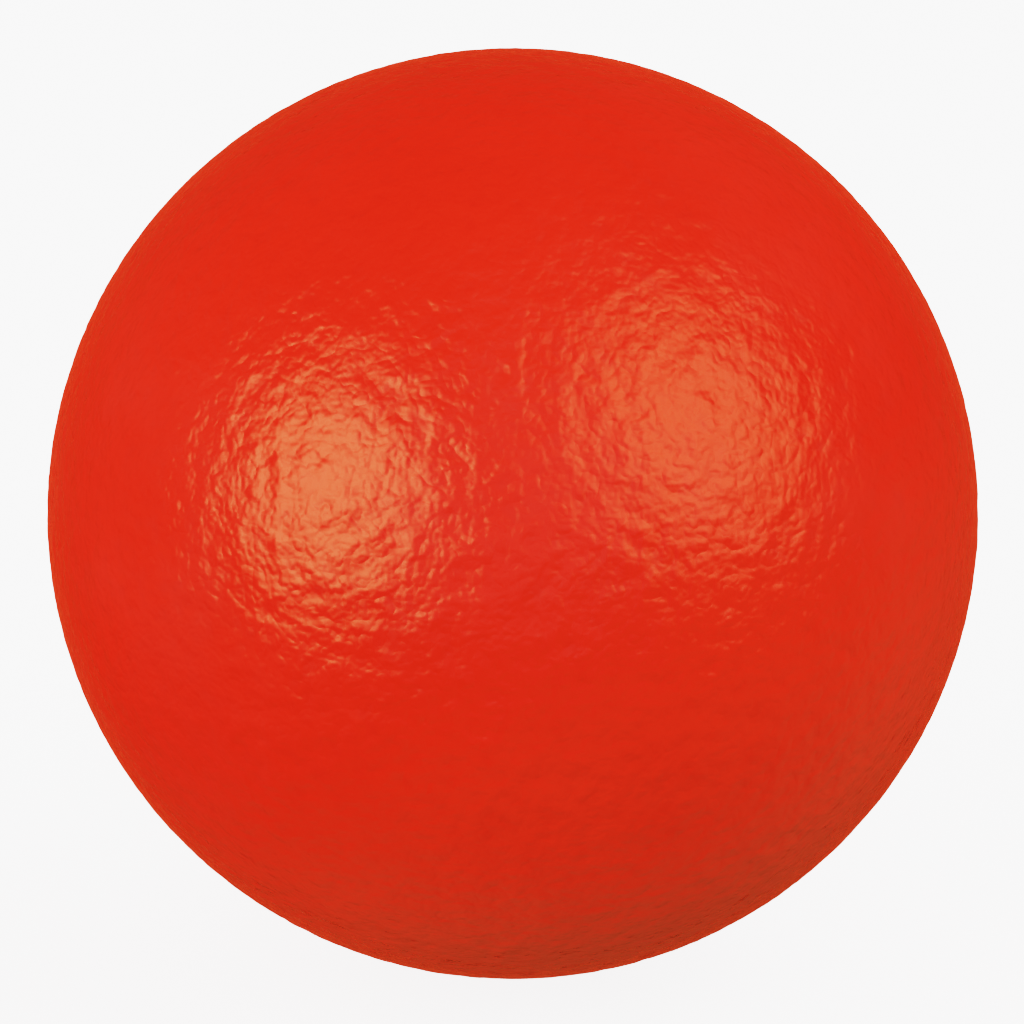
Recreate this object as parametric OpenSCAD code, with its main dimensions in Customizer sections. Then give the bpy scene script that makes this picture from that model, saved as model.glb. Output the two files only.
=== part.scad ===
// Inflatable playground ball, in millimetres.
// Four thin spherical layers lie one inside the other: a coloured cover, its
// inner ply, a thread winding and an airtight bladder. A rubber housing passes
// through all four and holds a self-sealing plug that takes an inflating needle.
// The origin is the centre of the ball, +Z is up, and the valve faces +Y.

/* [Ball] */
// Diameter of the ball over the crests of its grain
ball_d = 216; // [150:1:260]
// Thickness of the coloured cover
cover_t = 1.1; // [0.9:0.1:1.5]
// Thickness of the cover's inner ply
liner_t = 0.6; // [0.4:0.1:1.0]
// Thickness of the thread winding
winding_t = 0.4; // [0.3:0.1:0.8]
// Thickness of the bladder
bladder_t = 0.7; // [0.5:0.1:1.0]

/* [Smooth land round the valve] */
// Diameter of the smooth land
land_d = 24; // [20:1:32]
// Depth of the land below the crests of the grain
land_depth = 0.3; // [0.2:0.05:0.4]
// Diameter of the raised bead's centre line
bead_d = 16; // [14:0.5:18]
// Width of the raised bead
bead_w = 1; // [0.6:0.1:1.2]

/* [Valve housing] */
// Diameter of the button that shows in the cover
button_d = 10; // [9:0.5:12]
// Depth of the button's face below the crests of the grain
button_depth = 0.6; // [0.5:0.1:0.9]
// Length of the housing behind the button's face
housing_l = 21; // [20.5:0.5:26]
// Diameter of the flange bonded to the inside of the bladder
flange_d = 28; // [24:1:34]
// Thickness of the flange
flange_t = 1.2; // [0.8:0.1:1.6]

/* [Valve plug] */
// Diameter of the plug's head
head_d = 7; // [6.4:0.1:7.4]
// Diameter of the plug's shank
shank_d = 5.2; // [4.8:0.1:5.6]
// Diameter of the barb that locks the plug in the housing
barb_d = 6.8; // [6:0.1:7.2]
// Length of the plug
plug_l = 18; // [17:0.5:18.5]
// Diameter of the inflating needle
needle_d = 2; // [1.8:0.1:2.2]
// Length of the guide hole for the needle
guide_l = 12; // [10:0.5:13]

/* [Reinforcing patch] */
// Diameter of the patch that laps over the flange
patch_d = 44; // [38:1:56]
// Thickness of the patch
patch_t = 0.7; // [0.5:0.1:1.2]

/* [Hidden] */
$fn = 144;

// Outer radius of each layer
ball_r = ball_d / 2;
liner_r = ball_r - cover_t;
winding_r = liner_r - liner_t;
bladder_r = winding_r - winding_t;
air_r = bladder_r - bladder_t;

// Places along the valve's axis, measured from the centre of the ball
button_z = ball_r - button_depth;
housing_end_z = button_z - housing_l;

// Plug outline: depths below the button's face
head_depth = 1.8;
neck_depth = 2.7;
barb_depth = plug_l - 6;
barb_full_depth = barb_depth + 0.6;
barb_end_depth = barb_depth + 2.2;
tail_d = 3.2;

// Chamfer round the inner end of the housing
housing_chamfer = 1.2;
// Extra length that lets a cutter pass clean through a face
past = 1;

// Lays a shape that is built along +Z on the valve's axis, +Y
module on_valve_axis() {
    rotate([-90, 0, 0]) children();
}

// Hollow sphere with its wall inside outer_r
module hollow_sphere(outer_r, wall) {
    difference() {
        sphere(r = outer_r);
        sphere(r = outer_r - wall);
    }
}

// Round cutter of diameter d from the centre of the ball out through the cover
module valve_cutter(d) {
    on_valve_axis() cylinder(d = d, h = ball_r + past);
}

// One of the ball's layers, pierced for the valve housing
module layer(outer_r, wall) {
    difference() {
        hollow_sphere(outer_r, wall);
        valve_cutter(button_d);
    }
}

// Cutter of diameter d that stops at a sphere, so it sinks a pocket to radius floor_r
module pocket_cutter(d, floor_r) {
    difference() {
        valve_cutter(d);
        sphere(r = floor_r);
    }
}

// Disc cut from a hollow sphere, centred on the valve's axis
module curved_disc(outer_r, wall, d) {
    intersection() {
        hollow_sphere(outer_r, wall);
        valve_cutter(d);
    }
}

// Outline of the plug in the plane of its radius and its depth below the button
module plug_outline() {
    polygon([
        [0, 0],
        [head_d / 2, 0],
        [head_d / 2, -head_depth],
        [shank_d / 2, -neck_depth],
        [shank_d / 2, -barb_depth],
        [barb_d / 2, -barb_full_depth],
        [barb_d / 2, -barb_end_depth],
        [tail_d / 2, -plug_l],
        [0, -plug_l]
    ]);
}

// Solid form of the plug, which is also the form of its socket
module plug_form() {
    on_valve_axis() translate([0, 0, button_z]) rotate_extrude() plug_outline();
}

// Straight hole for the needle, from depth start to depth end below the button
module needle_hole(start, end) {
    on_valve_axis() translate([0, 0, button_z - end]) cylinder(d = needle_d, h = end - start);
}

// Coloured cover with a smooth, slightly sunken land and one raised bead round the valve
module cover() {
    land_r = ball_r - land_depth;
    bead_r = bead_d / 2;
    bead_z = sqrt(land_r * land_r - bead_r * bead_r);
    color("#d8301c") {
        difference() {
            layer(ball_r, cover_t);
            pocket_cutter(land_d, land_r);
        }
        on_valve_axis() rotate_extrude() translate([bead_r, bead_z]) circle(d = bead_w, $fn = 32);
    }
}

// Black inner ply of the cover
module liner() {
    color("#26211f") layer(liner_r, liner_t);
}

// Nylon thread, wound in great circles over the whole bladder
module winding() {
    color("#d9d2bd") layer(winding_r, winding_t);
}

// Airtight butyl bladder
module bladder() {
    color("#1d1b1b") layer(bladder_r, bladder_t);
}

// Patch inside the bladder: it covers the flange and laps onto the bladder round it
module valve_patch() {
    color("#4a423b") difference() {
        curved_disc(air_r, flange_t + patch_t, patch_d);
        pocket_cutter(flange_d, air_r - flange_t);
        valve_cutter(button_d);
    }
}

// Flanged housing with a barbed socket and an exit hole for the needle
module valve_housing() {
    body_l = housing_l - housing_chamfer;
    color("#151414") difference() {
        union() {
            curved_disc(air_r, flange_t, flange_d);
            on_valve_axis() {
                translate([0, 0, button_z - body_l]) cylinder(d = button_d, h = body_l);
                translate([0, 0, housing_end_z])
                    cylinder(d1 = button_d - 2 * housing_chamfer, d2 = button_d, h = housing_chamfer);
            }
        }
        plug_form();
        needle_hole(plug_l - past, housing_l + past);
    }
}

// Self-sealing plug with a blind guide hole for the needle
module valve_plug() {
    color("#2c2622") difference() {
        plug_form();
        needle_hole(-past, guide_l);
    }
}

cover();
liner();
winding();
bladder();
valve_patch();
valve_housing();
valve_plug();
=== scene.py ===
"""Inflated playground ball: a crinkled rubber skin over its inner ply, winding, bladder and valve.

Everything is in metres. The ball's centre is the origin, +Z is up, and the valve faces +Y.
"""

import math

import bpy
import numpy as np
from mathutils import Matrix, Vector


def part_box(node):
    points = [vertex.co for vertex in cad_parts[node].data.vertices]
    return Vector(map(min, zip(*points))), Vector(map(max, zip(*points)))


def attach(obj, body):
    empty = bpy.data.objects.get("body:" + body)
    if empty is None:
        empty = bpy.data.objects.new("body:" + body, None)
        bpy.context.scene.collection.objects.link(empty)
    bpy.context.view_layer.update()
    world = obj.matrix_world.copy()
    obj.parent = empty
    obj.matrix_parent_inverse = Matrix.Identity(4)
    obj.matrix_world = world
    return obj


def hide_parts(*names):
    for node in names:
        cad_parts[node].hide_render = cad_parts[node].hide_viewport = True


MM = 0.001

# ---------------------------------------------------------------- sizes the frame doesn't give

VALVE_RADIUS = 5.0 * MM
LAND_RADIUS = 12.0 * MM
LAND_DEPTH = 0.3 * MM
LAND_EDGE = 1.6 * MM
BEAD_RADIUS = 8.0 * MM
BEAD_HEIGHT = 0.45 * MM
BEAD_HALF_WIDTH = 0.55 * MM
HOLE_ROUND = 0.35 * MM

# ---------------------------------------------------------------- grain of the skin

# Each layer is (cell size, height). Wrinkles in the skin's mesh: rounded ones, then creases
GRAIN_LAYERS = ((7.5 * MM, 0.04 * MM), (4.6 * MM, 0.10 * MM), (2.8 * MM, 0.18 * MM))
CREASE_LAYERS = ((4.6 * MM, 0.10 * MM), (2.8 * MM, 0.15 * MM))
# Wrinkles in the material's bump: fine ones, and slow waves that have to leave the outline smooth
BUMP_LAYERS = ((6.5 * MM, 0.44 * MM), (3.5 * MM, 0.30 * MM), (1.2 * MM, 0.12 * MM))
BUMP_CREASES = ((3.8 * MM, 0.34 * MM), (2.2 * MM, 0.17 * MM))

CREASE_ROUND = 0.12
CREASE_WARP = 1.2 * MM
CREASE_WARP_CELL = 5.0 * MM
# Shifts that keep the layers of one noise from lining up, in cells
WARP_SHIFTS = (11.3, 37.7, 71.9)
GRAIN_SHIFT = 5.7
CREASE_SHIFT = 14.3
FIRST_CREASE_SHIFT = 9.1

# Spacing of the skin's points: outside, inside, and on the land round the valve
SKIN_STEP = 0.9 * MM
WALL_STEP = 2.4 * MM
LAND_STEP = 0.16 * MM
LAND_SPACING = 0.45 * MM
HOLE_STEP = 0.2 * MM

# One seed for each random pattern
SKIN_SEED = 7
LINER_SEED = 11
BLADDER_SEED = 13
THREAD_SEED = 17
PATCH_SEED = 19

# ---------------------------------------------------------------- inner layers and valve

GOLDEN_ANGLE = math.pi * (3 - math.sqrt(5))
LINER_STEP = 2.2 * MM
LINER_GORES = 6
LAP_HALF_WIDTH = 3.0 * MM
LAP_TAPER = 1.5 * MM
LAP_HEIGHT = 0.18 * MM
LINER_WAVE_CELL = 3.0 * MM
LINER_WAVE_HEIGHT = 0.05 * MM
BLADDER_STEP = 2.4 * MM
BLADDER_WAVE_CELL = 12.0 * MM
BLADDER_WAVE_HEIGHT = 0.06 * MM
PARTING_HALF_WIDTH = 1.6 * MM
PARTING_HEIGHT = 0.12 * MM

THREAD_TURNS = 300
THREAD_SIDES = 80
THREAD_HALF_WIDTH = 1.3 * MM
THREAD_THICKNESS = 0.16 * MM
# Section of a flat thread: (share of its half width, share of its thickness)
THREAD_SECTION = ((-1.0, 0.0), (-0.65, 1.0), (0.65, 1.0), (1.0, 0.0))
THREAD_NARROWEST = 0.75
THREAD_CLEARANCE = 0.8 * MM
THREAD_STRAY = 0.1

PATCH_THICKNESS = 0.7 * MM
PATCH_RIM = 0.35 * MM
PATCH_SKIVE = 4.0 * MM
PATCH_SKIVE_RISE = 0.5 * MM
PATCH_LAP = 1.0 * MM
PATCH_DENT_CELL = 4.0 * MM
PATCH_DENT = 0.08 * MM
PATCH_BOND = 0.1 * MM

FLANGE_THICKNESS = 1.2 * MM
FLANGE_BEVEL = 1.2 * MM
FLANGE_RIM = 0.3 * MM
FLANGE_FILLET = 1.6 * MM
FLANGE_RIB_PITCH = 1.7 * MM
FLANGE_RIB_HEIGHT = 0.15 * MM
FLANGE_RIB_START = 1.8 * MM
FLANGE_RIB_END = 1.0 * MM
LIP_START = 0.3 * MM
LIP_END = 0.55 * MM
LIP_DROP = 0.25 * MM
LIP_WALL_DROP = 0.4 * MM
BARREL_BEVEL = 0.45 * MM
BARREL_CHAMFER = 1.2 * MM
EXIT_BEVEL = 0.3 * MM

NEEDLE_RADIUS = 1.0 * MM
GUIDE_LENGTH = 12.0 * MM
# Guide hole: share of the needle's radius, and height above the foot or depth below the face
GUIDE_TIP = (0.55, 0.4 * MM)
GUIDE_WAIST = (0.75, 1.2 * MM)
GUIDE_THROAT = (0.75, 1.6 * MM)
GUIDE_MOUTH = (1.0, 0.9 * MM)
GUIDE_FUNNEL = (1.7, 0.35 * MM)
DISH_EDGE = (0.78, 0.12 * MM)
HEAD_BEVEL = 0.35 * MM
# Plug: depths below its face, and how much smaller the barb and the shank are than the head
PLUG_HEAD_DEPTH = 1.8 * MM
PLUG_NECK_DEPTH = 2.7 * MM
PLUG_BARB_DEPTH = 12.0 * MM
PLUG_BARB_FULL_DEPTH = 12.6 * MM
PLUG_BARB_END_DEPTH = 14.2 * MM
PLUG_BARB_INSET = 0.1 * MM
PLUG_SHANK_INSET = 0.9 * MM
PLUG_TAIL = 1.6 * MM
PLUG_GAP = 0.03 * MM

# ---------------------------------------------------------------- colours, linear

BLACK = (0.0, 0.0, 0.0, 1.0)
SKIN_RED = (0.674, 0.0232, 0.0120)
PLY_BLACK = (0.020, 0.017, 0.016)
BUTYL_BLACK = (0.014, 0.014, 0.015)
HOUSING_BLACK = (0.012, 0.0115, 0.012)
PLUG_BROWN = (0.022, 0.018, 0.015)
TALC = (0.55, 0.53, 0.5, 1.0)
THREAD_DARK = (0.36, 0.31, 0.21, 1.0)
THREAD_PALE = (0.58, 0.53, 0.40, 1.0)
# Painted shade for the grooves between the thread's fine lines
THREAD_GROOVE_SHADE = (0.22, 0.19, 0.14, 1.0)
CEMENT = (0.30, 0.22, 0.12, 1.0)
FABRIC_DARK = (0.045, 0.034, 0.027, 1.0)
FABRIC_PALE = (0.11, 0.088, 0.07, 1.0)
FABRIC_COAT = (0.03, 0.025, 0.022, 1.0)
FLOOR_DARK = (0.80, 0.80, 0.80, 1.0)
FLOOR_PALE = (0.82, 0.82, 0.82, 1.0)

# ---------------------------------------------------------------- view, lamps and surroundings

VIEW_ELEVATION = 10.0
LENS = 100.0
SENSOR = 36.0
# Share of the picture's width that the ball takes up, and the picture's shift
BALL_SHARE = 932.5 / 1024
SHIFT = (-0.0007, 0.0015)
CLIP_NEAR = 0.01
CLIP_FAR = 200.0

WHITE = 3.0
FLOOR_HALF = 30.0
# What the fill light adds to the floor, so the glow of the floor leaves it out
FLOOR_LIT = 1.05

# The fill comes from all round except a dark cap at the lower right: angles from its axis, in degrees
CAP_AXIS = (0.29, -0.956, 0.0)
CAP_EDGE = (55.0, 79.0)
FILL = 1.41
# Two bright rings round the cap: where each starts, is full, starts to fall and ends
WIDE_RING = (88.0, 112.0, 118.0, 145.0)
WIDE_RING_LIGHT = 0.7
NEAR_RING = (58.0, 78.0, 84.0, 110.0)
NEAR_RING_LIGHT = 0.8
TOP_FALL = (125.0, 158.0)
TOP_SHARE = 0.25

# Dim surroundings that only reflections see: angles in degrees from the camera's direction
NEAR_CENTRE = (0.60, 0.46, 0.35, 1.0)
NEAR_RIM = (0.58, 0.34, 0.14, 1.0)
NEAR_FALL = (60.0, 0.0)
FAR = (0.13, 0.090, 0.040, 1.0)
FAR_FALL = (140.0, 45.0)
# Glow from the floor, from the ceiling and from behind the ball
DOWN_AXIS = (0.40, -0.90, -0.17)
FLOOR_RISE = (85.0, 35.0)
FLOOR_FALL = (168.0, 104.0)
FLOOR_GLOW = (0.31, 0.31, 0.18, 1.0)
CEILING_RISE = (85.0, 130.0)
CEILING_FALL = (170.0, 110.0)
CEILING_GLOW = (0.01, 0.040, 0.030, 1.0)
BEHIND_RISE = (132.0, 166.0)
BEHIND_CAP_EDGE = (68.0, 100.0)
BEHIND_CAP_SHARE = 0.8
BEHIND_GLOW = (0.70, 0.02, 0.010, 1.0)
# Lamps: direction (right, up, towards the camera), outer and inner radius in degrees, and light
LAMPS = (
    ((-0.688, 0.105, 0.718), 37.5, 2.0, (5.5, 3.62, 1.82, 1.0)),
    ((0.671, 0.336, 0.661), 43.0, 2.0, (5.1, 2.10, 1.04, 1.0)),
    ((0.0, 0.0, -1.0), 8.0, 3.0, (6.0, 3.6, 2.0, 1.0)),
)


# ================================================================ noise


class GradientNoise:
    """Smooth noise over points in space, about -1 to 1, the same on every run."""

    SIZE = 256

    def __init__(self, seed):
        """Draws the order of the cells and the slope at each corner."""
        random = np.random.RandomState(seed)
        order = random.permutation(self.SIZE).astype(np.int64)
        self.order = np.concatenate([order, order, order])
        gradients = random.normal(size=(self.SIZE, 3))
        self.gradients = gradients / np.linalg.norm(gradients, axis=1)[:, None]

    def corner(self, cell, inside, step):
        """Share of one corner of the cell that each point lies in."""
        x, y, z = (cell[:, axis] + step[axis] for axis in range(3))
        picked = self.order[self.order[self.order[x] + y] + z]
        return ((inside - np.array(step)) * self.gradients[picked]).sum(axis=1)

    def __call__(self, points, cell_size, shift=0.0):
        """Noise at each point; shift moves the pattern, in cells."""
        scaled = points / cell_size + shift
        cell = np.floor(scaled).astype(np.int64)
        inside = scaled - cell
        cell %= self.SIZE
        ease = inside**3 * (inside * (inside * 6 - 15) + 10)
        total = np.zeros(len(points))
        for step in np.ndindex(2, 2, 2):
            weight = np.ones(len(points))
            for axis in range(3):
                weight *= ease[:, axis] if step[axis] else 1 - ease[:, axis]
            total += weight * self.corner(cell, inside, step)
        return total

    def vector(self, points, cell_size):
        """Three noises at once, for bending one pattern with another."""
        return np.stack([self(points, cell_size, shift) for shift in WARP_SHIFTS], axis=1)


def smooth_step(value, low, high):
    """0 below low, 1 above high, and an even rise between them."""
    t = np.clip((value - low) / (high - low), 0, 1)
    return t * t * (3 - 2 * t)


# ================================================================ meshes

# Fewest points in a ring
FEWEST_ROUND = 12


def fan(centre, first, count):
    """Triangles between one point and a ring of points."""
    i = np.arange(count)
    return np.stack([np.full(count, centre), first + i, first + (i + 1) % count], axis=1)


def stitch(first_a, count_a, first_b, count_b):
    """Triangles between two rings of points, whatever the number of points in each."""
    if count_a == 1:
        return fan(first_a, first_b, count_b)[:, [0, 2, 1]]
    if count_b == 1:
        return fan(first_b, first_a, count_a)
    ends = np.concatenate([(np.arange(count_a) + 1) / count_a, (np.arange(count_b) + 1) / count_b])
    on_a = np.argsort(ends, kind="stable") < count_a
    at_a = np.cumsum(on_a) - on_a
    at_b = np.cumsum(~on_a) - ~on_a
    next_a = first_a + (at_a + 1) % count_a
    next_b = first_b + (at_b + 1) % count_b
    here_a = first_a + at_a % count_a
    here_b = first_b + at_b % count_b
    return np.stack([here_a, np.where(on_a, next_a, next_b), here_b], axis=1)


def revolve(profile, closed=False):
    """Points and triangles of a profile turned about the valve's axis.

    The profile is a list of (distance from the axis, height along it, spacing round the ring).
    It starts and ends on the axis, or is a closed loop.
    """
    points, rings = [], []
    first = 0
    for index, (radius, height, spacing) in enumerate(profile):
        count = 1 if radius == 0 else max(FEWEST_ROUND, round(2 * math.pi * radius / spacing))
        turn = 2 * math.pi * (np.arange(count) + 0.5 * (index % 2)) / count
        ring = (radius * np.cos(turn), np.full(count, height), radius * np.sin(turn))
        points.append(np.stack(ring, axis=1))
        rings.append((first, count))
        first += count
    pairs = list(zip(rings, rings[1:]))
    if closed:
        pairs.append((rings[-1], rings[0]))
    triangles = [stitch(*a, *b) for a, b in pairs]
    return face_outwards(np.concatenate(points), np.concatenate(triangles))


def face_outwards(points, triangles):
    """Turns the triangles round if they enclose a negative volume."""
    a, b, c = (points[triangles[:, k]] for k in range(3))
    if (np.cross(a, b) * c).sum() < 0:
        triangles = triangles[:, ::-1]
    return points, triangles


def make_piece(name, points, triangles, material, sharp_angle=40, marks=None):
    """A mesh object; marks are named numbers kept on its points for the material to read."""
    mesh = bpy.data.meshes.new(name)
    mesh.vertices.add(len(points))
    mesh.vertices.foreach_set("co", points.astype(np.float32).ravel())
    mesh.loops.add(3 * len(triangles))
    mesh.loops.foreach_set("vertex_index", triangles.astype(np.int32).ravel())
    mesh.polygons.add(len(triangles))
    mesh.polygons.foreach_set("loop_start", np.arange(0, 3 * len(triangles), 3, dtype=np.int32))
    mesh.update(calc_edges=True)
    mesh.validate()
    mesh.shade_smooth()
    mesh.set_sharp_from_angle(angle=math.radians(sharp_angle))
    for mark, values in (marks or {}).items():
        attribute = mesh.attributes.new(mark, "FLOAT", "POINT")
        attribute.data.foreach_set("value", values.astype(np.float32))
    mesh.materials.append(material)
    piece = bpy.data.objects.new(name, mesh)
    bpy.context.scene.collection.objects.link(piece)
    return piece


# ================================================================ profiles

# A profile point nearer the axis than this angle is on it
SMALL_ANGLE = 1e-9
# Longest part of a side that the rounding of a corner may take up
CORNER_SHARE = 0.45


def sphere_arc(radius, start, end, step):
    """Profile points on a sphere round the origin, between two angles from the valve's axis."""
    count = max(2, math.ceil(abs(end - start) * radius / step))
    profile = []
    for angle in np.linspace(start, end, count + 1):
        on_axis = math.sin(angle) < SMALL_ANGLE
        distance = 0.0 if on_axis else radius * math.sin(angle)
        profile.append((distance, radius * math.cos(angle), step))
    return profile


def angle_at(distance, radius):
    """Angle from the valve's axis at which a sphere is this far from the axis."""
    return math.asin(distance / radius)


def line(start, end, step, spacing):
    """Profile points from start to end, without start itself."""
    count = max(1, math.ceil(math.dist(start, end) / step))
    profile = []
    for k in range(1, count + 1):
        distance = start[0] + (end[0] - start[0]) * k / count
        height = start[1] + (end[1] - start[1]) * k / count
        profile.append((distance, height, spacing))
    return profile


def rounded(corners, spacing, round_size, step, closed=False):
    """Profile points along straight sides, with a small curve in place of each inner corner."""
    count = len(corners)
    path = []
    for k, corner in enumerate(corners):
        if not closed and k in (0, count - 1):
            path.append((corner[0], corner[1]))
            continue
        here = Vector(corner)
        before = Vector(corners[k - 1])
        after = Vector(corners[(k + 1) % count])
        nearest = min((before - here).length, (after - here).length)
        reach = min(round_size, CORNER_SHARE * nearest)
        start = here + (before - here).normalized() * reach
        end = here + (after - here).normalized() * reach
        for t in (0.0, 0.25, 0.5, 0.75, 1.0):
            point = start * (1 - t) ** 2 + here * 2 * t * (1 - t) + end * t**2
            path.append((point.x, point.y))
    profile = [(*path[0], spacing)]
    for start, end in zip(path, path[1:]):
        profile += line(start, end, step, spacing)
    if closed:
        profile += line(path[-1], path[0], step, spacing)[:-1]
    return profile


# ================================================================ materials


class Graph:
    """A node tree with short calls for adding nodes and joining them."""

    def __init__(self, tree):
        self.tree = tree
        tree.nodes.clear()

    def add(self, kind, sockets=None, **settings):
        """A node, with a link or a value for each of the sockets."""
        node = self.tree.nodes.new("ShaderNode" + kind)
        for key, value in settings.items():
            setattr(node, key, value)
        for key, value in (sockets or {}).items():
            if isinstance(value, bpy.types.NodeSocket):
                self.tree.links.new(value, node.inputs[key])
            else:
                node.inputs[key].default_value = value
        return node

    def math(self, operation, a, b=0.0):
        """Sum, product or other result of one or two numbers."""
        return self.add("Math", {0: a, 1: b}, operation=operation).outputs[0]

    def place(self):
        """Position in the object's own metres."""
        return self.add("TexCoord").outputs["Object"]

    def noise(self, vector, cell_size, detail=0.0, roughness=0.5):
        """Smooth noise from 0 to 1."""
        sockets = {"Vector": vector, "Scale": 1 / cell_size}
        sockets |= {"Detail": detail, "Roughness": roughness, "Distortion": 0.0}
        return self.add("TexNoise", sockets).outputs["Fac"]

    def rise(self, value, low, high, to_low=0.0, to_high=1.0):
        """Even rise from to_low to to_high as value goes from low to high."""
        sockets = {"Value": value, "From Min": low, "From Max": high}
        sockets |= {"To Min": to_low, "To Max": to_high}
        return self.add("MapRange", sockets, interpolation_type="SMOOTHSTEP").outputs[0]

    def blend(self, amount, a, b, mode="MIX"):
        """Mix of two colours."""
        node = self.add("Mix", data_type="RGBA", blend_type=mode)
        for key, value in {0: amount, 6: a, 7: b}.items():
            if isinstance(value, bpy.types.NodeSocket):
                self.tree.links.new(value, node.inputs[key])
            else:
                node.inputs[key].default_value = value
        return node.outputs[2]

    def band(self, value, start, full, fall, end):
        """Rises from start to full, and falls again from fall to end."""
        return self.math("MULTIPLY", self.rise(value, start, full), self.rise(value, end, fall))

    def glow(self, light, amount, colour):
        """Light with some of a colour added to it."""
        return self.blend(1.0, light, self.blend(amount, BLACK, colour), "ADD")

    def bump(self, height, distance):
        """Normals bent by a height; distance is what a height of 1 stands for."""
        return self.add("Bump", {"Height": height, "Distance": distance, "Strength": 1.0}).outputs[0]

    def mark(self, name):
        """One of the named numbers kept on the mesh's points."""
        return self.add("Attribute", attribute_name=name).outputs["Fac"]

    def rubber(self, colour, roughness, normal):
        """Principled shader and output."""
        sockets = {"Base Color": colour, "Roughness": roughness, "Normal": normal}
        shader = self.add("BsdfPrincipled", sockets)
        self.add("OutputMaterial", {"Surface": shader.outputs[0]})
        return shader


def new_graph(name):
    """A new material, and the graph of its nodes."""
    material = bpy.data.materials.new(name)
    material.use_nodes = True
    return material, Graph(material.node_tree)


def shade(colour, factor=1.0):
    """A linear colour with full alpha."""
    return tuple(channel * factor for channel in colour) + (1.0,)


def skin_relief(graph, place):
    """Height of the skin's bump in millimetres: rounded wrinkles and creases."""
    relief = 0.0
    for cell, height in BUMP_LAYERS:
        wrinkle = graph.noise(place, cell)
        relief = graph.math("ADD", relief, graph.math("MULTIPLY", wrinkle, height / MM))
    for cell, height in BUMP_CREASES:
        crease = graph.math("ABSOLUTE", graph.math("SUBTRACT", graph.noise(place, cell), 0.5))
        relief = graph.math("ADD", relief, graph.math("MULTIPLY", crease, height / MM))
    return relief


def skin_material():
    """Glossy red rubber skin: slow mottling, dull worn patches, creases that are duller and darkened
    with painted shade, and bumpy wrinkles.
    """
    material, graph = new_graph("skin_rubber")
    place = graph.place()
    mottle = graph.noise(place, 38 * MM, detail=2.0)
    speckle = graph.noise(place, 0.6 * MM, detail=1.0)
    crease = graph.mark("crease")
    colour = graph.blend(graph.rise(mottle, 0.3, 0.7), shade(SKIN_RED, 0.97), shade(SKIN_RED, 1.02))
    colour = graph.blend(graph.rise(speckle, 0.35, 0.75, 0.0, 0.25), colour, shade(SKIN_RED, 0.94))
    # Painted shade: the colour darkens towards the bottom of the creases, following the crease depth
    # mark.
    colour = graph.blend(graph.rise(crease, 0.45, 1.0, 0.0, 0.5), colour, shade(SKIN_RED, 0.86))
    wear = graph.noise(place, 26 * MM, detail=3.0, roughness=0.6)
    worn = graph.rise(wear, 0.35, 0.75, 0.10, 0.17)
    roughness = graph.math("ADD", worn, graph.rise(crease, 0.5, 1.0, 0.0, 0.06))
    relief = graph.math("MULTIPLY", skin_relief(graph, place), graph.mark("grain"))
    graph.rubber(colour, roughness, graph.bump(relief, MM))
    return material


def dull_rubber_material(name, colour, roughness, dust=0.0, grain_cell=0.8 * MM):
    """Black or brown rubber with a fine grain, uneven gloss and, where asked for, pale talc."""
    material, graph = new_graph(name)
    place = graph.place()
    cloud = graph.noise(place, 14 * MM, detail=4.0, roughness=0.6)
    grain = graph.noise(place, grain_cell, detail=3.0)
    base = graph.blend(graph.rise(cloud, 0.3, 0.7), shade(colour, 0.75), shade(colour, 1.3))
    talc = graph.noise(place, 16 * MM, detail=6.0, roughness=0.6)
    base = graph.blend(graph.rise(talc, 0.45, 0.8, 0.0, dust), base, TALC)
    gloss = graph.rise(cloud, 0.3, 0.75, roughness - 0.08, roughness + 0.1)
    graph.rubber(base, gloss, graph.bump(grain, 0.05 * MM))
    return material


def thread_material():
    """Nylon thread in a thin coat of rubber cement: fine lines run along each band, with painted
    shade in the grooves between them.
    """
    material, graph = new_graph("wound_thread")
    place = graph.place()
    lines = graph.math("SINE", graph.math("MULTIPLY", graph.mark("across"), 28.0))
    cement = graph.noise(place, 7 * MM, detail=4.0, roughness=0.65)
    base = graph.blend(graph.mark("tone"), THREAD_DARK, THREAD_PALE)
    # Painted shade: the thread is darker in the grooves between its fine lines.
    base = graph.blend(graph.rise(lines, -1.0, 0.2, 0.55, 0.0), base, THREAD_GROOVE_SHADE)
    base = graph.blend(graph.rise(cement, 0.5, 0.75, 0.0, 0.6), base, CEMENT)
    gloss = graph.rise(cement, 0.45, 0.75, 0.55, 0.32)
    graph.rubber(base, gloss, graph.bump(lines, 0.06 * MM))
    return material


def patch_material():
    """Rubbered fabric: a square weave shows through a brown-black coat."""
    material, graph = new_graph("patch_fabric")
    place = graph.place()
    apart = graph.add("SeparateXYZ", {0: place})
    thread_pitch = 0.9 * MM
    turns = 2 * math.pi / thread_pitch
    warp = graph.math("SINE", graph.math("MULTIPLY", apart.outputs["X"], turns))
    weft = graph.math("SINE", graph.math("MULTIPLY", apart.outputs["Z"], turns))
    weave = graph.math("MULTIPLY", warp, weft)
    coat = graph.noise(place, 6 * MM, detail=4.0)
    base = graph.blend(graph.rise(weave, -1.0, 1.0), FABRIC_DARK, FABRIC_PALE)
    base = graph.blend(graph.rise(coat, 0.4, 0.7, 0.0, 0.7), base, FABRIC_COAT)
    graph.rubber(base, graph.rise(coat, 0.3, 0.7, 0.78, 0.5), graph.bump(weave, 0.08 * MM))
    return material


# ================================================================ pieces


def shell_radii(node):
    """Smallest and largest distance of a CAD node's points from the ball's centre."""
    coordinates = np.zeros(3 * len(node.data.vertices))
    node.data.vertices.foreach_get("co", coordinates)
    distance = np.linalg.norm(coordinates.reshape(-1, 3), axis=1)
    return float(distance.min()), float(distance.max())


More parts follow.
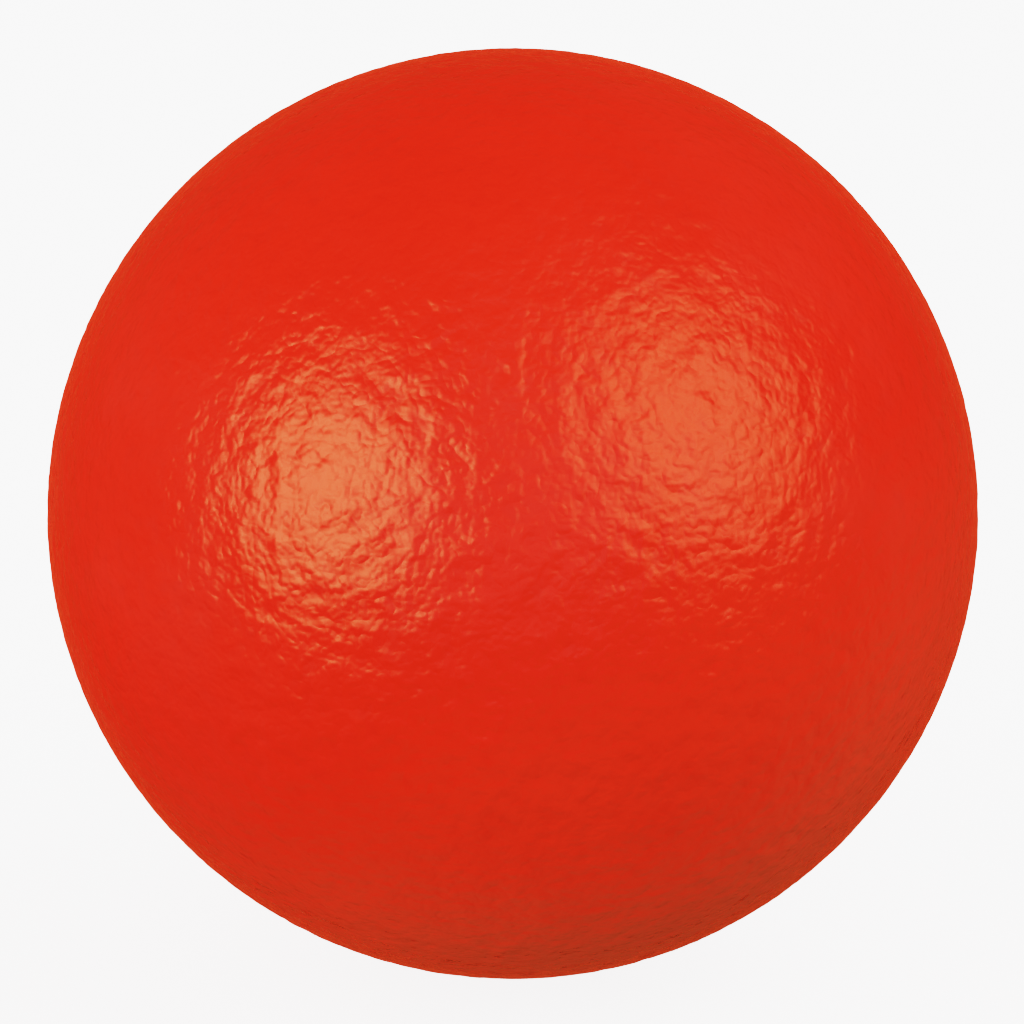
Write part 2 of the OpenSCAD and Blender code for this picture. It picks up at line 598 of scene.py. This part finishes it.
def skin_radius(distance, ball_radius):
    """Radius of the smooth skin at a distance from the valve's axis: ball, land and bead."""
    edge = LAND_EDGE / 2
    sunk = LAND_DEPTH * (1 - smooth_step(distance, LAND_RADIUS - edge, LAND_RADIUS + edge))
    bead = BEAD_HEIGHT * math.exp(-(((distance - BEAD_RADIUS) / BEAD_HALF_WIDTH) ** 2))
    return float(ball_radius - sunk + bead)


def skin_profile(ball_radius, inner_radius, hole_radius):
    """Outer skin from the pole opposite the valve to the hole, then back along the inside."""
    outer_end = LAND_RADIUS + LAND_EDGE
    profile = sphere_arc(ball_radius, math.pi, angle_at(outer_end, ball_radius), SKIN_STEP)
    distance = outer_end
    while distance > hole_radius + HOLE_ROUND:
        distance -= LAND_STEP
        radius = skin_radius(distance, ball_radius)
        profile.append((distance, math.sqrt(radius**2 - distance**2), LAND_SPACING))
    top = profile[-1][1]
    for degrees in (30, 60, 90):
        turn = math.radians(degrees)
        reach = hole_radius + HOLE_ROUND * (1 - math.sin(turn))
        profile.append((reach, top - HOLE_ROUND * (1 - math.cos(turn)), LAND_SPACING))
    foot = (hole_radius, math.sqrt(inner_radius**2 - hole_radius**2))
    profile += line(profile[-1][:2], foot, HOLE_STEP, LAND_SPACING)
    inside = sphere_arc(inner_radius, angle_at(hole_radius, inner_radius), math.pi, WALL_STEP)
    return profile + inside[1:]


def grain_depth(points, noise):
    """Depth of the moulded crinkle below its crests at points on the skin."""
    height = np.zeros(len(points))
    for index, (cell, amount) in enumerate(GRAIN_LAYERS):
        height += amount * noise(points, cell, GRAIN_SHIFT * index)
    bent = points + CREASE_WARP * noise.vector(points, CREASE_WARP_CELL)
    for index, (cell, amount) in enumerate(CREASE_LAYERS):
        ridge = noise(bent, cell, FIRST_CREASE_SHIFT + CREASE_SHIFT * index)
        height += amount * np.sqrt(ridge**2 + CREASE_ROUND**2)
    return height.max() - height


def push(points, amount):
    """Moves points towards the ball's centre by amount."""
    radius = np.linalg.norm(points, axis=1)
    return points * ((radius - amount) / radius)[:, None]


def build_cover(nodes, material):
    """Red skin with its crinkled grain, smooth land and bead; the grain fades out at the land."""
    ball_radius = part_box("cover")[1].x
    inner_radius = shell_radii(nodes["liner"])[1]
    points, triangles = revolve(skin_profile(ball_radius, inner_radius, VALVE_RADIUS))
    distance = np.hypot(points[:, 0], points[:, 2])
    radius = np.linalg.norm(points, axis=1)
    near_valve = points[:, 1] > 0
    fade = np.where(near_valve, smooth_step(distance, LAND_RADIUS, LAND_RADIUS + 2 * LAND_EDGE), 1.0)
    outside = radius > (ball_radius + inner_radius) / 2
    depth = np.zeros(len(points))
    depth[outside] = grain_depth(points[outside], GradientNoise(SKIN_SEED)) * fade[outside]
    points = push(points, depth)
    # The crease mark is the crinkle's depth; the skin's material makes the creases duller and paints
    # shade into them.
    marks = {"crease": depth / depth.max(), "grain": fade}
    return make_piece("ball_cover", points, triangles, material, marks=marks)


def shell_profile(outer_radius, inner_radius, hole_radius, step):
    """Profile of a thin ball with a round hole for the valve."""
    outside = sphere_arc(outer_radius, math.pi, angle_at(hole_radius, outer_radius), step)
    inside = sphere_arc(inner_radius, angle_at(hole_radius, inner_radius), math.pi, step)
    return outside + inside


def wave_share(seed, points, cell_size):
    """Slow waves, about 0 to 1."""
    return 0.5 + 0.5 * GradientNoise(seed)(points, cell_size)


def build_liner(nodes, material):
    """Inner ply: gores of sheet rubber that lap at six seams from the valve to the far pole."""
    inner_radius, outer_radius = shell_radii(nodes["liner"])
    points, triangles = revolve(shell_profile(outer_radius, inner_radius, VALVE_RADIUS, LINER_STEP))
    radius = np.linalg.norm(points, axis=1)
    distance = np.hypot(points[:, 0], points[:, 2])
    gore = 2 * math.pi / LINER_GORES
    turn = np.arctan2(points[:, 2], points[:, 0]) % gore
    from_seam = np.minimum(turn, gore - turn) * distance
    flat = smooth_step(from_seam, LAP_HALF_WIDTH, LAP_HALF_WIDTH + LAP_TAPER)
    inside = radius < (inner_radius + outer_radius) / 2
    waves = wave_share(LINER_SEED, points, LINER_WAVE_CELL)
    depth = np.where(inside, 0.0, LAP_HEIGHT * flat + LINER_WAVE_HEIGHT * waves)
    return make_piece("cover_inner_ply", push(points, depth), triangles, material)


def build_bladder(nodes, material):
    """Butyl bladder, with the parting line of its mould and a slightly uneven wall."""
    inner_radius, outer_radius = shell_radii(nodes["bladder"])
    points, triangles = revolve(shell_profile(outer_radius, inner_radius, VALVE_RADIUS, BLADDER_STEP))
    radius = np.linalg.norm(points, axis=1)
    outside = radius > (inner_radius + outer_radius) / 2
    parting = np.exp(-((points[:, 1] / PARTING_HALF_WIDTH) ** 2))
    waves = wave_share(BLADDER_SEED, points, BLADDER_WAVE_CELL)
    sunk = PARTING_HEIGHT * (1 - parting) + BLADDER_WAVE_HEIGHT * waves
    depth = np.where(outside, sunk, 0.0)
    return make_piece("bladder_shell", push(points, depth), triangles, material)


def great_circle(normal, radius, count):
    """Points round a great circle, and the direction across it."""
    normal = normal / np.linalg.norm(normal)
    helper = np.array([1.0, 0.0, 0.0]) if abs(normal[0]) < 0.8 else np.array([0.0, 0.0, 1.0])
    first = np.cross(normal, helper)
    first /= np.linalg.norm(first)
    second = np.cross(normal, first)
    turn = 2 * math.pi * np.arange(count) / count
    outward = np.cos(turn)[:, None] * first + np.sin(turn)[:, None] * second
    return outward * radius, outward, normal


def thread_band(normal, radius, half_width):
    """One closed turn of flat thread, its triangles, and how far across it each point lies."""
    count = THREAD_SIDES
    centre, outward, across = great_circle(normal, radius, count)
    rows = [
        centre + half_width * side * across + THREAD_THICKNESS * lift * outward
        for side, lift in THREAD_SECTION
    ]
    points = np.stack(rows, axis=1).reshape(-1, 3)
    sides = len(THREAD_SECTION)
    i = np.arange(count)[:, None]
    k = np.arange(sides)[None, :]
    a = i * sides + k
    b = ((i + 1) % count) * sides + k
    c = ((i + 1) % count) * sides + (k + 1) % sides
    d = i * sides + (k + 1) % sides
    halves = [np.stack(corners, axis=-1).reshape(-1, 3) for corners in ((a, b, c), (a, c, d))]
    points, triangles = face_outwards(points, np.concatenate(halves))
    marks = np.tile([side for side, _ in THREAD_SECTION], count)
    return points, triangles, marks


def build_winding(nodes, material):
    """Nylon thread wound in great circles that lie in every direction and miss the valve."""
    inner_radius, outer_radius = shell_radii(nodes["winding"])
    random = np.random.RandomState(THREAD_SEED)
    clear = (VALVE_RADIUS + THREAD_HALF_WIDTH + THREAD_CLEARANCE) / outer_radius
    room = outer_radius - inner_radius - THREAD_THICKNESS
    parts, first = [], 0
    for turn in range(THREAD_TURNS):
        lean = clear + (1 - clear) * (turn + random.uniform()) / THREAD_TURNS
        heading = turn * GOLDEN_ANGLE + random.uniform(-THREAD_STRAY, THREAD_STRAY)
        level = math.sqrt(1 - lean**2)
        normal = np.array([level * math.cos(heading), lean, level * math.sin(heading)])
        radius = inner_radius + room * random.uniform()
        half_width = THREAD_HALF_WIDTH * random.uniform(THREAD_NARROWEST, 1.0)
        points, triangles, across = thread_band(normal, radius, half_width)
        tone = np.full(len(points), random.uniform())
        parts.append((points, triangles + first, across, tone))
        first += len(points)
    points, triangles, across, tone = (np.concatenate([part[k] for part in parts]) for k in range(4))
    marks = {"across": across, "tone": tone}
    return make_piece("thread_winding", points, triangles, material, sharp_angle=70, marks=marks)


def valve_axis_range(node_name):
    """Lowest and highest point of a valve part along the valve's axis, and its largest radius."""
    low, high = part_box(node_name)
    return low.y, high.y, high.x


def on_sphere(distance, radius):
    """Corner of a profile: at this distance from the axis, on a sphere round the origin."""
    return (distance, math.sqrt(radius**2 - distance**2))


def build_patch(nodes, material):
    """Reinforcing patch: it steps over the flange, and its rim is skived thin."""
    edge = valve_axis_range("valve_patch")[2]
    inner_radius, outer_radius = shell_radii(nodes["valve_patch"])
    flange = valve_axis_range("valve_housing")[2]
    step_radius = inner_radius + PATCH_THICKNESS
    corners = [
        on_sphere(VALVE_RADIUS, step_radius),
        on_sphere(flange, step_radius),
        on_sphere(flange, outer_radius),
        on_sphere(edge, outer_radius),
        on_sphere(edge, outer_radius - PATCH_RIM),
        on_sphere(edge - PATCH_SKIVE, inner_radius + PATCH_SKIVE_RISE),
        on_sphere(flange + PATCH_LAP, inner_radius),
        on_sphere(VALVE_RADIUS, inner_radius),
    ]
    profile = rounded(corners, spacing=0.9 * MM, round_size=0.3 * MM, step=0.8 * MM, closed=True)
    points, triangles = revolve(profile, closed=True)
    dents = PATCH_DENT * wave_share(PATCH_SEED, points, PATCH_DENT_CELL)
    bonded = np.linalg.norm(points, axis=1) >= outer_radius - PATCH_BOND
    points = push(points, np.where(bonded, 0.0, -dents))
    return make_piece("valve_patch_disc", points, triangles, material)


def plug_corners(top, bottom, head, gap=0.0):
    """Half outline of the plug from its head to its tail, grown by gap."""
    barb = head - PLUG_BARB_INSET
    shank = head - PLUG_SHANK_INSET
    return [
        (head + gap, top),
        (head + gap, top - PLUG_HEAD_DEPTH),
        (shank + gap, top - PLUG_NECK_DEPTH),
        (shank + gap, top - PLUG_BARB_DEPTH),
        (barb + gap, top - PLUG_BARB_FULL_DEPTH),
        (barb + gap, top - PLUG_BARB_END_DEPTH),
        (PLUG_TAIL + gap, bottom),
    ]


def build_housing(nodes, material):
    """Moulded housing: barrel with a rolled lip, ribbed flange, barbed socket and exit hole."""
    low, high, flange = valve_axis_range("valve_housing")
    plug_low, plug_high, head = valve_axis_range("valve_plug")
    air_radius = shell_radii(nodes["bladder"])[0]
    under = air_radius - FLANGE_THICKNESS
    corners = [
        (head + LIP_START, high - LIP_DROP),
        (head + LIP_END, high),
        (VALVE_RADIUS - BARREL_BEVEL, high),
        (VALVE_RADIUS, high - BARREL_BEVEL),
        on_sphere(VALVE_RADIUS, air_radius),
        on_sphere(flange, air_radius),
        on_sphere(flange, under + FLANGE_RIM),
        on_sphere(flange - FLANGE_BEVEL, under),
        on_sphere(VALVE_RADIUS + FLANGE_FILLET, under),
        (VALVE_RADIUS, on_sphere(VALVE_RADIUS, under)[1] - FLANGE_FILLET),
        (VALVE_RADIUS, low + BARREL_CHAMFER),
        (VALVE_RADIUS - BARREL_CHAMFER, low),
        (NEEDLE_RADIUS + EXIT_BEVEL, low),
        (NEEDLE_RADIUS, low + EXIT_BEVEL),
        (NEEDLE_RADIUS, plug_low),
    ]
    corners += reversed(plug_corners(plug_high, plug_low, head))
    corners[-1] = (head, high - LIP_WALL_DROP)
    profile = rounded(corners, spacing=0.35 * MM, round_size=0.25 * MM, step=0.4 * MM, closed=True)
    points, triangles = revolve(profile, closed=True)
    distance = np.hypot(points[:, 0], points[:, 2])
    ribbed = (distance > VALVE_RADIUS + FLANGE_RIB_START) & (distance < flange - FLANGE_RIB_END)
    ribbed &= np.linalg.norm(points, axis=1) < under + FLANGE_RIM
    ribs = 0.5 + 0.5 * np.cos(2 * math.pi * (distance - VALVE_RADIUS) / FLANGE_RIB_PITCH)
    points = push(points, np.where(ribbed, -FLANGE_RIB_HEIGHT * ribs, 0.0))
    return make_piece("valve_housing_body", points, triangles, material)


def build_plug(material):
    """Soft plug: a dished head round the needle's hole, a blind guide hole and a barbed tail."""
    low, high, head = valve_axis_range("valve_plug")
    foot = high - GUIDE_LENGTH
    corners = [(0.0, foot)]
    corners += [(NEEDLE_RADIUS * share, foot + rise) for share, rise in (GUIDE_TIP, GUIDE_WAIST)]
    mouth = (GUIDE_THROAT, GUIDE_MOUTH, GUIDE_FUNNEL)
    corners += [(NEEDLE_RADIUS * share, high - depth) for share, depth in mouth]
    corners += [(head * DISH_EDGE[0], high - DISH_EDGE[1]), (head - PLUG_GAP, high - HEAD_BEVEL)]
    corners += plug_corners(high, low, head, -PLUG_GAP)[1:]
    corners += [(0.0, low)]
    profile = rounded(corners, spacing=0.2 * MM, round_size=0.3 * MM, step=0.3 * MM)
    points, triangles = revolve(profile)
    return make_piece("valve_plug_body", points, triangles, material)


def build(frame):
    """Every piece, attached to the root, with the CAD node that it stands for hidden; the table also
    lists a material slot name for each, which is not used.
    """
    nodes = frame["nodes"]
    liner_rubber = dull_rubber_material("ply_rubber", PLY_BLACK, 0.62)
    butyl = dull_rubber_material("butyl_rubber", BUTYL_BLACK, 0.45, dust=0.22)
    housing_rubber = dull_rubber_material("housing_rubber", HOUSING_BLACK, 0.40, grain_cell=0.4 * MM)
    plug_rubber = dull_rubber_material("plug_rubber", PLUG_BROWN, 0.33, grain_cell=0.35 * MM)
    made = (
        (build_cover(nodes, skin_material()), "cover", "cover_rubber"),
        (build_liner(nodes, liner_rubber), "liner", "liner_rubber"),
        (build_winding(nodes, thread_material()), "winding", "nylon_thread"),
        (build_bladder(nodes, butyl), "bladder", "bladder_butyl"),
        (build_patch(nodes, patch_material()), "valve_patch", "patch_rubber"),
        (build_housing(nodes, housing_rubber), "valve_housing", "housing_rubber"),
        (build_plug(plug_rubber), "valve_plug", "plug_rubber"),
    )
    for piece, node, slot in made:
        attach(piece, "root")
        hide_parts(node)


# ================================================================ light, floor and camera


def view_frame():
    """Right, up and towards-the-camera directions of the photograph's view."""
    tilt = math.radians(VIEW_ELEVATION)
    right = Vector((1, 0, 0))
    back = Vector((0, -math.cos(tilt), math.sin(tilt)))
    return right, back.cross(right), back


def seen_direction(x, y, z):
    """World direction for one given as right, up and towards the camera."""
    right, up, back = view_frame()
    return (right * x + up * y + back * z).normalized()


def angle_from(graph, direction, axis):
    """Angle in degrees between the direction that a ray looks in and an axis."""
    dot = graph.add("VectorMath", {0: direction, 1: tuple(axis)}, operation="DOT_PRODUCT")
    return graph.math("MULTIPLY", graph.math("ARCCOSINE", dot.outputs["Value"]), 180 / math.pi)


def fill_light(graph, below):
    """Even light with a dark cap at the lower right, two brighter rings and a dimmer top."""
    fill = graph.rise(below, *CAP_EDGE, 0.0, FILL)
    wide = graph.math("MULTIPLY", graph.band(below, *WIDE_RING), WIDE_RING_LIGHT)
    near = graph.math("MULTIPLY", graph.band(below, *NEAR_RING), NEAR_RING_LIGHT)
    fill = graph.math("ADD", graph.math("ADD", fill, wide), near)
    return graph.math("MULTIPLY", fill, graph.rise(below, *TOP_FALL, 1.0, TOP_SHARE))


def reflected_light(graph, direction, below):
    """What the gloss of the ball shows: dim, coloured surroundings and the lamps."""
    front = angle_from(graph, direction, view_frame()[2])
    down = angle_from(graph, direction, seen_direction(*DOWN_AXIS))
    near = graph.blend(graph.rise(front, *NEAR_FALL), NEAR_RIM, NEAR_CENTRE)
    gloss = graph.blend(graph.rise(front, *FAR_FALL), FAR, near)
    floor = graph.math("MULTIPLY", graph.rise(down, *FLOOR_RISE), graph.rise(front, *FLOOR_FALL))
    gloss = graph.glow(gloss, floor, FLOOR_GLOW)
    ceiling = graph.rise(down, *CEILING_RISE)
    ceiling = graph.math("MULTIPLY", ceiling, graph.rise(front, *CEILING_FALL))
    gloss = graph.glow(gloss, ceiling, CEILING_GLOW)
    behind = graph.rise(below, *BEHIND_CAP_EDGE, BEHIND_CAP_SHARE, 1.0)
    behind = graph.math("MULTIPLY", graph.rise(front, *BEHIND_RISE), behind)
    gloss = graph.glow(gloss, behind, BEHIND_GLOW)
    for place, outer, inner, colour in LAMPS:
        away = angle_from(graph, direction, seen_direction(*place))
        gloss = graph.glow(gloss, graph.rise(away, outer, inner), colour)
    return gloss


def build_world():
    """White for the camera, a fill light, and large soft lamps that only reflections see."""
    world = bpy.data.worlds.new("studio")
    world.use_nodes = True
    bpy.context.scene.world = world
    world.cycles.sampling_method = "NONE"
    graph = Graph(world.node_tree)
    direction = graph.add("TexCoord").outputs["Generated"]
    below = angle_from(graph, direction, seen_direction(*CAP_AXIS))
    path = graph.add("LightPath").outputs
    gloss = reflected_light(graph, direction, below)
    light = graph.blend(path["Is Glossy Ray"], fill_light(graph, below), gloss)
    light = graph.blend(path["Is Camera Ray"], light, (WHITE, WHITE, WHITE, 1.0))
    shine = graph.add("Background", {"Color": light, "Strength": 1.0})
    graph.add("OutputWorld", {"Surface": shine.outputs[0]})


def build_floor(height):
    """A wide pale floor, bright enough to run into the white surroundings."""
    corners = ((-1, -1), (1, -1), (1, 1), (-1, 1))
    points = np.array([(FLOOR_HALF * x, FLOOR_HALF * y, height) for x, y in corners])
    triangles = np.array([(0, 1, 2), (0, 2, 3)])
    material, graph = new_graph("pale_floor")
    cloud = graph.noise(graph.place(), 0.15, detail=2.0)
    colour = graph.blend(cloud, FLOOR_DARK, FLOOR_PALE)
    roughness = graph.rise(cloud, 0.0, 1.0, 0.85, 0.95)
    shader = graph.rubber(colour, roughness, graph.bump(cloud, 0.1 * MM))
    shader.inputs["Specular IOR Level"].default_value = 0.0
    shader.inputs["Emission Color"].default_value = (1.0, 1.0, 1.0, 1.0)
    shader.inputs["Emission Strength"].default_value = WHITE - FLOOR_LIT
    floor = make_piece("floor", points, triangles, material)
    floor.visible_diffuse = False
    floor.visible_glossy = False


def build_camera(ball_radius):
    """Camera at the photograph's angle, at the distance that fills the picture as much."""
    camera = bpy.data.cameras.new("camera")
    camera.lens = LENS
    camera.sensor_width = SENSOR
    camera.shift_x, camera.shift_y = SHIFT
    camera.clip_start = CLIP_NEAR
    camera.clip_end = CLIP_FAR
    half_angle = math.atan(BALL_SHARE * SENSOR / 2 / LENS)
    distance = ball_radius / math.sin(half_angle)
    holder = bpy.data.objects.new("camera", camera)
    holder.location = view_frame()[2] * distance
    holder.rotation_euler = (-view_frame()[2]).to_track_quat("-Z", "Y").to_euler()
    bpy.context.scene.collection.objects.link(holder)
    bpy.context.scene.camera = holder


def set_tones():
    """Tone curve of the picture."""
    settings = bpy.context.scene.view_settings
    settings.view_transform = "Filmic"
    settings.look = "Very High Contrast"


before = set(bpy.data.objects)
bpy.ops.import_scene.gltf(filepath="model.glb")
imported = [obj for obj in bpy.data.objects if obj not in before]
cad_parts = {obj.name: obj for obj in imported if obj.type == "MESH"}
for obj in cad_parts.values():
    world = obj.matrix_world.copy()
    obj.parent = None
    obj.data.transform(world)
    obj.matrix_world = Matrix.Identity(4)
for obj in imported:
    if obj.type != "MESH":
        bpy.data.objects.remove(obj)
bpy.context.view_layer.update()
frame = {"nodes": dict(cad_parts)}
build(frame)
build_world()
build_floor(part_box("cover")[0].z)
build_camera(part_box("cover")[1].x)
set_tones()
